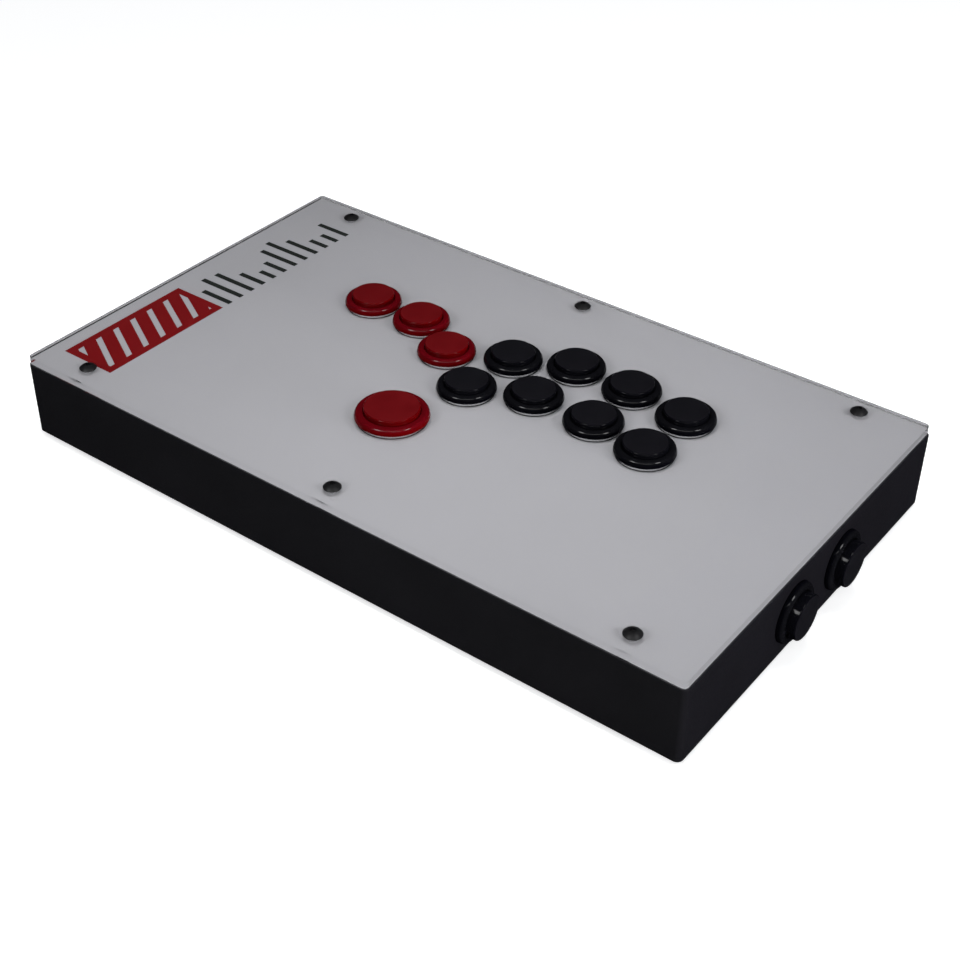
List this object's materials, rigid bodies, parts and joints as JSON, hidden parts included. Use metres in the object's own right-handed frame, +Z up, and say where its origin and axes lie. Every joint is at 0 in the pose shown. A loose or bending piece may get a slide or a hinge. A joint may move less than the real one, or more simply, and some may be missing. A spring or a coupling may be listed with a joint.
{
  "type": "arcade button controller",
  "caption": "Flat boxed arcade controller: push buttons through a clear-covered white top for direction and action inputs, side buttons on the right end, rear USB-C socket.",
  "frame": {"origin": "middle of the outline, side buttons included, on the surface that the feet stand on", "axes": "+X along the long side to the player's right, towards the side buttons; +Y away from the player, towards the USB socket; +Z up out of the button face"},
  "size_m": [0.369, 0.2084, 0.05],
  "materials": {
    "case_black": "fine matte powder coat",
    "clear_acrylic": "polished clear sheet",
    "art_white": "satin white printed sheet",
    "art_print_black": "black print on the art sheet",
    "art_print_red": "red print on the art sheet",
    "bezel_red": "gloss moulded",
    "plunger_red": "fine matte moulded",
    "bezel_black": "gloss moulded",
    "plunger_black": "fine matte moulded",
    "switch_black": "moulded",
    "terminal_brass": "stamped",
    "screw_black": "black oxide steel",
    "foot_rubber": "moulded rubber",
    "board_green": "solder mask",
    "socket_steel": "drawn shell",
    "wire_black": "PVC insulation",
    "wire_red": "PVC insulation"
  },
  "bodies": {
    "case": {"case_shell": "case_black", "art_sheet": "art_white", "clear_cover": "clear_acrylic", "base_plate": "case_black", "controller_board": "board_green", "usb_socket": "socket_steel", "wire_loom": "wire_black", "cover_screw_1": "screw_black", "cover_screw_2": "screw_black", "cover_screw_3": "screw_black", "cover_screw_4": "screw_black", "cover_screw_5": "screw_black", "cover_screw_6": "screw_black", "foot_1": "foot_rubber", "foot_2": "foot_rubber", "foot_3": "foot_rubber", "foot_4": "foot_rubber", "left_body": "bezel_red", "left_switch": "switch_black", "down_body": "bezel_red", "down_switch": "switch_black", "right_body": "bezel_red", "right_switch": "switch_black", "jump_body": "bezel_red", "jump_switch": "switch_black", "upper_1_body": "bezel_black", "upper_1_switch": "switch_black", "upper_2_body": "bezel_black", "upper_2_switch": "switch_black", "upper_3_body": "bezel_black", "upper_3_switch": "switch_black", "upper_4_body": "bezel_black", "upper_4_switch": "switch_black", "lower_1_body": "bezel_black", "lower_1_switch": "switch_black", "lower_2_body": "bezel_black", "lower_2_switch": "switch_black", "lower_3_body": "bezel_black", "lower_3_switch": "switch_black", "lower_4_body": "bezel_black", "lower_4_switch": "switch_black", "side_front_body": "bezel_black", "side_front_switch": "switch_black", "side_rear_body": "bezel_black", "side_rear_switch": "switch_black"},
    "left_plunger_body": {"left_plunger": "plunger_red"},
    "down_plunger_body": {"down_plunger": "plunger_red"},
    "right_plunger_body": {"right_plunger": "plunger_red"},
    "jump_plunger_body": {"jump_plunger": "plunger_red"},
    "upper_1_plunger_body": {"upper_1_plunger": "plunger_black"},
    "upper_2_plunger_body": {"upper_2_plunger": "plunger_black"},
    "upper_3_plunger_body": {"upper_3_plunger": "plunger_black"},
    "upper_4_plunger_body": {"upper_4_plunger": "plunger_black"},
    "lower_1_plunger_body": {"lower_1_plunger": "plunger_black"},
    "lower_2_plunger_body": {"lower_2_plunger": "plunger_black"},
    "lower_3_plunger_body": {"lower_3_plunger": "plunger_black"},
    "lower_4_plunger_body": {"lower_4_plunger": "plunger_black"},
    "side_front_plunger_body": {"side_front_plunger": "plunger_black"},
    "side_rear_plunger_body": {"side_rear_plunger": "plunger_black"}
  },
  "joints": [
    {"name": "left_press", "type": "slide", "parent": "case", "child": "left_plunger_body", "axis": [0, 0, -1], "range_m": [0, 0.002], "stiffness_N_per_m": 300, "springref_m": -0.002},
    {"name": "down_press", "type": "slide", "parent": "case", "child": "down_plunger_body", "axis": [0, 0, -1], "range_m": [0, 0.002], "stiffness_N_per_m": 300, "springref_m": -0.002},
    {"name": "right_press", "type": "slide", "parent": "case", "child": "right_plunger_body", "axis": [0, 0, -1], "range_m": [0, 0.002], "stiffness_N_per_m": 300, "springref_m": -0.002},
    {"name": "jump_press", "type": "slide", "parent": "case", "child": "jump_plunger_body", "axis": [0, 0, -1], "range_m": [0, 0.002], "stiffness_N_per_m": 300, "springref_m": -0.002},
    {"name": "upper_1_press", "type": "slide", "parent": "case", "child": "upper_1_plunger_body", "axis": [0, 0, -1], "range_m": [0, 0.002], "stiffness_N_per_m": 300, "springref_m": -0.002},
    {"name": "upper_2_press", "type": "slide", "parent": "case", "child": "upper_2_plunger_body", "axis": [0, 0, -1], "range_m": [0, 0.002], "stiffness_N_per_m": 300, "springref_m": -0.002},
    {"name": "upper_3_press", "type": "slide", "parent": "case", "child": "upper_3_plunger_body", "axis": [0, 0, -1], "range_m": [0, 0.002], "stiffness_N_per_m": 300, "springref_m": -0.002},
    {"name": "upper_4_press", "type": "slide", "parent": "case", "child": "upper_4_plunger_body", "axis": [0, 0, -1], "range_m": [0, 0.002], "stiffness_N_per_m": 300, "springref_m": -0.002},
    {"name": "lower_1_press", "type": "slide", "parent": "case", "child": "lower_1_plunger_body", "axis": [0, 0, -1], "range_m": [0, 0.002], "stiffness_N_per_m": 300, "springref_m": -0.002},
    {"name": "lower_2_press", "type": "slide", "parent": "case", "child": "lower_2_plunger_body", "axis": [0, 0, -1], "range_m": [0, 0.002], "stiffness_N_per_m": 300, "springref_m": -0.002},
    {"name": "lower_3_press", "type": "slide", "parent": "case", "child": "lower_3_plunger_body", "axis": [0, 0, -1], "range_m": [0, 0.002], "stiffness_N_per_m": 300, "springref_m": -0.002},
    {"name": "lower_4_press", "type": "slide", "parent": "case", "child": "lower_4_plunger_body", "axis": [0, 0, -1], "range_m": [0, 0.002], "stiffness_N_per_m": 300, "springref_m": -0.002},
    {"name": "side_front_press", "type": "slide", "parent": "case", "child": "side_front_plunger_body", "axis": [-1, 0, 0], "range_m": [0, 0.002], "stiffness_N_per_m": 300, "springref_m": -0.002},
    {"name": "side_rear_press", "type": "slide", "parent": "case", "child": "side_rear_plunger_body", "axis": [-1, 0, 0], "range_m": [0, 0.002], "stiffness_N_per_m": 300, "springref_m": -0.002}
  ]
}
